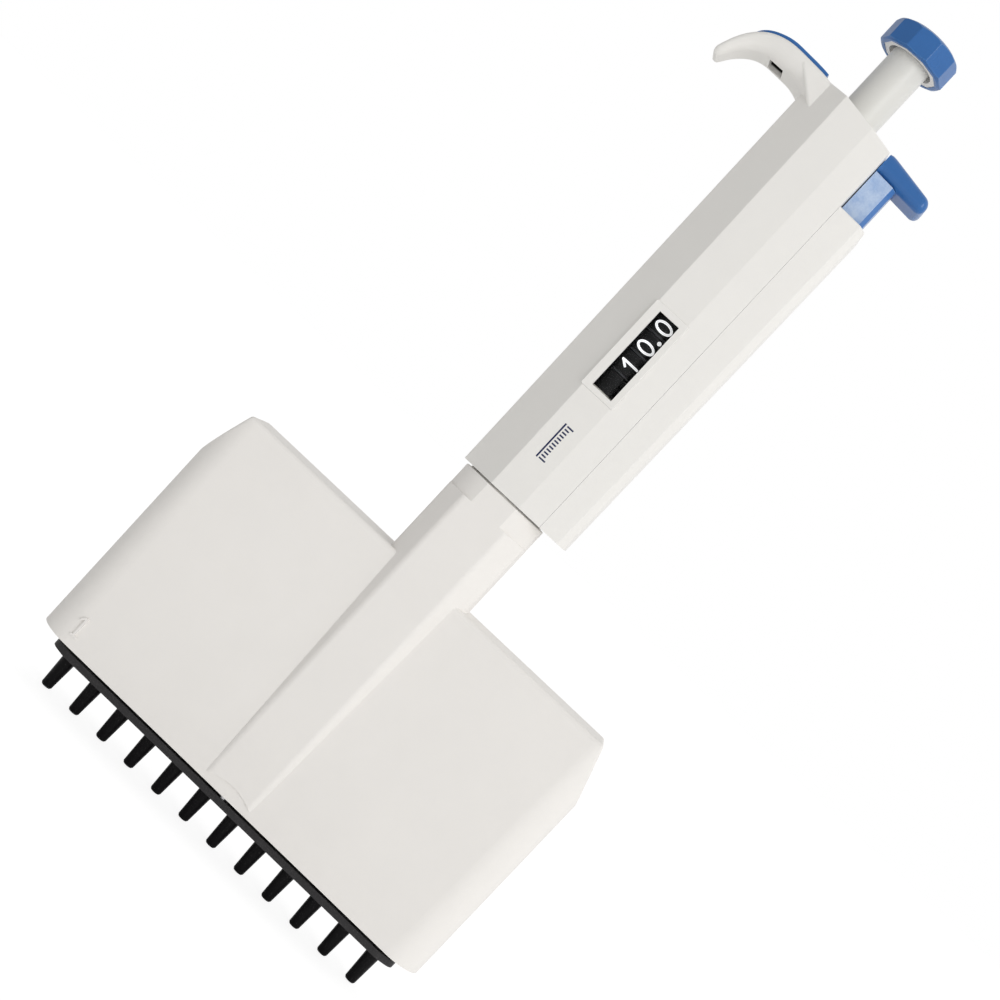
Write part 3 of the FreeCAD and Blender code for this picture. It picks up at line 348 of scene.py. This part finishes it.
# ------------------------------------------------------------------ drum numerals
WHEEL_RADIUS = 9.5 * MM
DIGIT_OFFSET_X = 0.72 * MM      # numerals sit towards the ejector side, in line with the window
DIGIT_HEIGHT = 4.75 * MM
DIGIT_LIFT = 0.035 * MM         # middle of the numerals' thickness above the drum
DIGIT_THICKNESS = 0.06 * MM
DIGITS_PER_DRUM = 10
DIGIT_STEP = math.radians(360 // DIGITS_PER_DRUM)

POINT_ALONG, POINT_UP = 2.70 * MM, -1.68 * MM   # decimal point, from the middle of its numeral
POINT_RADIUS = 0.52 * MM
POINT_SEGMENTS = 20

# Flat numerals are drawn about one unit high, then scaled to DIGIT_HEIGHT.
SLICE_STEP = 0.05
FONT_BOLDNESS = 0.026
FONT_WIDTH = 0.92               # width factor of the numerals 2 to 9
ONE_STROKES = ((0.0, -0.425, 0.0, 0.425),       # upright: x, y of its start, x, y of its end
               (0.0, 0.425, -0.225, 0.130))     # flag
ONE_STROKE_RADIUS = 0.058
ONE_SHIFT = 0.055
NOUGHT_HALF_WIDTH, NOUGHT_HALF_HEIGHT = 0.235, 0.430
NOUGHT_BAND_RADIUS = 0.061      # half the width of the band


def text_mesh(name, body):
    """Flat mesh of a text in the default font, one unit in size."""
    curve = bpy.data.curves.new(name, "FONT")
    curve.body = body
    curve.size = 1.0
    curve.align_x = "CENTER"
    curve.align_y = "CENTER"
    curve.resolution_u = 10
    curve.offset = FONT_BOLDNESS
    curve.extrude = 0.0
    carrier = bpy.data.objects.new(name + "_tmp", curve)
    scene.collection.objects.link(carrier)
    bpy.context.view_layer.update()
    evaluated = carrier.evaluated_get(bpy.context.evaluated_depsgraph_get())
    mesh = bpy.data.meshes.new_from_object(evaluated)
    bpy.data.objects.remove(carrier)
    mesh.name = name
    return mesh


def stroke_mesh(name, lines, radius, segments=8):
    """Straight strokes with round ends."""
    verts, faces = [], []
    for ax, ay, bx, by in lines:
        direction = math.atan2(by - ay, bx - ax)
        first = len(verts)
        for end_x, end_y, start in ((bx, by, direction - math.pi / 2),
                                    (ax, ay, direction + math.pi / 2)):
            for i in range(segments + 1):
                angle = start + math.pi * i / segments
                verts.append((end_x + radius * math.cos(angle),
                              end_y + radius * math.sin(angle), 0.0))
        faces.append(list(range(first, len(verts))))
    return mesh_from(name, verts, faces)


def ring_mesh(name, half_width, half_height, band_radius, segments=48):
    """An even band round an oval."""
    verts, faces = [], []
    for i in range(segments):
        angle = 2 * math.pi * i / segments
        cosine, sine = math.cos(angle), math.sin(angle)
        x, y = half_width * cosine, half_height * sine
        normal_x, normal_y = cosine / half_width, sine / half_height
        length = math.hypot(normal_x, normal_y)
        for radius in (band_radius, -band_radius):
            verts.append((x + radius * normal_x / length, y + radius * normal_y / length, 0.0))
        j = (i + 1) % segments
        faces.append([2 * i, 2 * j, 2 * j + 1, 2 * i + 1])
    return mesh_from(name, verts, faces)


def slice_mesh(mesh):
    """Cut a flat mesh into strips so that it can follow a curved drum."""
    bm = bmesh.new()
    bm.from_mesh(mesh)
    heights = [v.co.y for v in bm.verts]
    y = min(heights) + SLICE_STEP
    while y < max(heights):
        bmesh.ops.bisect_plane(bm, geom=bm.verts[:] + bm.edges[:] + bm.faces[:], dist=1e-6,
                               plane_co=(0, y, 0), plane_no=(0, 1, 0))
        y += SLICE_STEP
    bm.to_mesh(mesh)
    bm.free()


def centre_mesh(mesh):
    """Centre a flat mesh on its origin and return its height."""
    xs = [v.co.x for v in mesh.vertices]
    ys = [v.co.y for v in mesh.vertices]
    middle_x, middle_y = (min(xs) + max(xs)) / 2, (min(ys) + max(ys)) / 2
    for v in mesh.vertices:
        v.co.x -= middle_x
        v.co.y -= middle_y
    return max(ys) - min(ys)


def numeral_mesh(digit):
    """Flat numeral and its height."""
    name = "d%d" % digit
    if digit == 0:
        mesh = ring_mesh(name, NOUGHT_HALF_WIDTH, NOUGHT_HALF_HEIGHT, NOUGHT_BAND_RADIUS)
        return mesh, centre_mesh(mesh)
    if digit == 1:
        mesh = stroke_mesh(name, ONE_STROKES, ONE_STROKE_RADIUS)
    else:
        mesh = text_mesh(name, str(digit))
    slice_mesh(mesh)
    height = centre_mesh(mesh)
    if digit == 1:
        for v in mesh.vertices:
            v.co.x += ONE_SHIFT
    return mesh, height


def drum_numerals(name, body, shown, middle_z, point=False):
    """Ten raised numerals wrapped round a drum; the shown one faces the window.

    Text runs along +Z, the drum's axis, with its top towards -X at the window.
    """
    radius = WHEEL_RADIUS + DIGIT_LIFT
    window_angle = math.asin(DIGIT_OFFSET_X / WHEEL_RADIUS)
    verts, faces = [], []

    def wrap(along, up, k):
        angle = window_angle + k * DIGIT_STEP - up / WHEEL_RADIUS
        verts.append((radius * math.sin(angle), -radius * math.cos(angle), middle_z + along))

    for k in range(DIGITS_PER_DRUM):
        digit = (shown - k) % DIGITS_PER_DRUM
        mesh, height = numeral_mesh(digit)
        scale_up = DIGIT_HEIGHT / height
        scale_along = scale_up * (FONT_WIDTH if digit > 1 else 1.0)
        first = len(verts)
        for v in mesh.vertices:
            wrap(v.co.x * scale_along, v.co.y * scale_up, k)
        for face in mesh.polygons:
            faces.append([first + i for i in face.vertices])
        if point:
            first = len(verts)
            for i in range(POINT_SEGMENTS):
                turn = 2 * math.pi * i / POINT_SEGMENTS
                wrap(POINT_ALONG + POINT_RADIUS * math.cos(turn),
                     POINT_UP + POINT_RADIUS * math.sin(turn), k)
            faces.append([first + i for i in range(POINT_SEGMENTS)])
    add_detail(mesh_from(name, verts, faces), "digit_white", DIGIT_THICKNESS, body)


drum_numerals("numerals_tens", "tens_drum", shown=1, middle_z=147.10 * MM)
drum_numerals("numerals_units", "units_drum", shown=0, middle_z=153.12 * MM, point=True)
drum_numerals("numerals_tenths", "tenths_drum", shown=0, middle_z=159.18 * MM)

# ------------------------------------------------------------------ printed channel mark
MARK_X, MARK_Y, MARK_Z = 0.55 * MM, -12.515 * MM, 123.1 * MM
MARK_LENGTH = 10.0 * MM
MARK_THICKNESS = 0.03 * MM
BAR_LEFT, BAR_RIGHT = 1.25 * MM, 0.85 * MM      # both to the -X side of MARK_X
TICK_LEFT = 0.45 * MM                           # to the -X side of MARK_X
TICK_RIGHT, END_TICK_RIGHT = 0.75, 1.35         # mm to the +X side of MARK_X
TICK_HALF_HEIGHT = 0.19 * MM
TICK_SPAN = 0.94                # first to last tick, as a share of the bar's length
CHANNELS = 12


def channel_mark():
    """A bar with twelve short ticks, one for each channel, on a face that looks along -Y."""
    mesh = bpy.data.meshes.new("print_channel_mark")
    bm = bmesh.new()

    def patch(x0, x1, z0, z1):
        corners = ((x0, z0), (x1, z0), (x1, z1), (x0, z1))
        bm.faces.new([bm.verts.new((x, MARK_Y, z)) for x, z in corners])

    patch(MARK_X - BAR_LEFT, MARK_X - BAR_RIGHT,
          MARK_Z - MARK_LENGTH / 2, MARK_Z + MARK_LENGTH / 2)
    last = CHANNELS - 1
    for i in range(CHANNELS):
        z = MARK_Z + MARK_LENGTH * (i / last - 0.5) * TICK_SPAN
        right = (END_TICK_RIGHT if i in (0, last) else TICK_RIGHT) * MM
        patch(MARK_X - TICK_LEFT, MARK_X + right, z - TICK_HALF_HEIGHT, z + TICK_HALF_HEIGHT)
    bm.to_mesh(mesh)
    bm.free()
    add_detail(mesh, "print_navy", MARK_THICKNESS, "handle")


channel_mark()

# ------------------------------------------------------------------ floor
FLOOR_HALF = 6.0
FLOOR_Z = -0.0004
FLOOR_GREYS = (0.93, 0.97)
FLOOR_GLOW = 1.17
FLOOR_DIFFUSE_SHARE = 0.25      # for camera rays; the rest is glow


def floor_material():
    """Pale diffuse floor that also glows, for the camera only."""
    material = new_material("floor_pale")
    tree = material.node_tree
    mottle = noise(tree, texture_coords(tree), scale=4.0, detail=4.0)
    grey = map_range(tree, mottle, to_range=FLOOR_GREYS)
    colour = add_node(tree, "ShaderNodeCombineColor", {0: grey, 1: grey, 2: grey})
    diffuse = add_node(tree, "ShaderNodeBsdfDiffuse", {"Color": colour.outputs[0]}).outputs[0]
    glow = add_node(tree, "ShaderNodeEmission", {"Color": (1, 1, 1, 1), "Strength": FLOOR_GLOW})
    seen = mix_shader(tree, FLOOR_DIFFUSE_SHARE, glow.outputs[0], diffuse)
    rays = add_node(tree, "ShaderNodeLightPath")
    surface = mix_shader(tree, rays.outputs["Is Camera Ray"], diffuse, seen)
    add_node(tree, "ShaderNodeOutputMaterial", {"Surface": surface})
    return material


floor_corners = [(x * FLOOR_HALF, y * FLOOR_HALF, 0)
                 for x, y in ((-1, -1), (1, -1), (1, 1), (-1, 1))]
floor_mesh = bpy.data.meshes.new("floor")
floor_mesh.from_pydata(floor_corners, [], [(0, 1, 2, 3)])
floor = bpy.data.objects.new("floor", floor_mesh)
floor.location = (0, 0, FLOOR_Z)
scene.collection.objects.link(floor)
floor_mesh.materials.append(floor_material())

# ------------------------------------------------------------------ surround and key light
SURROUND_HEIGHT = (0.50, 0.57)  # strength of the soft surround from below and from above
SURROUND_SIDE = (0.74, 1.52)    # factor from the -X side to the ejector side
SURROUND_BACK = (1.0, 1.40)     # factor from the room in front to the white sweep behind
KEY_WATTS = 8.1                 # large softbox, front right
KEY_PLACE, KEY_TARGET = Vector((0.93, -1.27, 0.45)), Vector((0, 0, 0.12))
KEY_SIZE = (0.70, 0.95)


def build_world():
    """Soft uneven surround that lights the piece, and plain white for the camera."""
    world = bpy.data.worlds.new("studio")
    scene.world = world
    world.use_nodes = True
    tree = world.node_tree
    tree.nodes.clear()
    direction = add_node(tree, "ShaderNodeSeparateXYZ",
                         {0: texture_coords(tree, "Generated")}).outputs
    height = map_range(tree, direction["Z"], from_range=(-0.6, 1.0), to_range=SURROUND_HEIGHT)
    side = map_range(tree, direction["X"], from_range=(-0.9, 0.9), to_range=SURROUND_SIDE,
                     interpolation="SMOOTHSTEP")
    strength = maths(tree, "MULTIPLY", height, side)
    back = map_range(tree, direction["Y"], from_range=(-0.15, 0.55), to_range=SURROUND_BACK,
                     interpolation="SMOOTHSTEP")
    strength = maths(tree, "MULTIPLY", strength, back)
    surround = add_node(tree, "ShaderNodeBackground",
                        {"Color": (1.0, 0.997, 0.99, 1), "Strength": strength})
    white = add_node(tree, "ShaderNodeBackground", {"Color": (1, 1, 1, 1), "Strength": 1.0})
    rays = add_node(tree, "ShaderNodeLightPath")
    surface = mix_shader(tree, rays.outputs["Is Camera Ray"],
                         surround.outputs[0], white.outputs[0])
    add_node(tree, "ShaderNodeOutputWorld", {"Surface": surface})


def add_key_light():
    light = bpy.data.lights.new("key", "AREA")
    light.shape = "RECTANGLE"
    light.size, light.size_y = KEY_SIZE
    light.energy = KEY_WATTS
    light.color = (1, 1, 1)
    key = bpy.data.objects.new("key", light)
    key.location = KEY_PLACE
    key.rotation_mode = "QUATERNION"
    key.rotation_quaternion = (KEY_TARGET - KEY_PLACE).to_track_quat("-Z", "Y")
    scene.collection.objects.link(key)


build_world()
add_key_light()

# ------------------------------------------------------------------ camera
# In front, looking along +Y and rolled so that the top of the pipette leans to the right.
CAMERA_PLACE = Vector((0.03247, -0.42155, 0.11181))
CAMERA_RIGHT = Vector((0.72899, 0.06827, 0.68111))
CAMERA_FORWARD = Vector((-0.07848, 0.99679, -0.01592))


def add_camera():
    lens = bpy.data.cameras.new("camera")
    lens.lens = 65.39
    lens.sensor_width = 36.0
    lens.sensor_fit = "HORIZONTAL"
    lens.clip_start, lens.clip_end = 0.02, 20
    camera = bpy.data.objects.new("camera", lens)
    scene.collection.objects.link(camera)
    right = CAMERA_RIGHT.normalized()
    up = right.cross(CAMERA_FORWARD.normalized()).normalized()
    forward = up.cross(right).normalized()      # square to the other two
    pose = Matrix((right, up, -forward)).transposed().to_4x4()
    pose.translation = CAMERA_PLACE
    camera.matrix_world = pose
    scene.camera = camera


add_camera()
scene.view_settings.view_transform = "Standard"
scene.view_settings.look = "None"
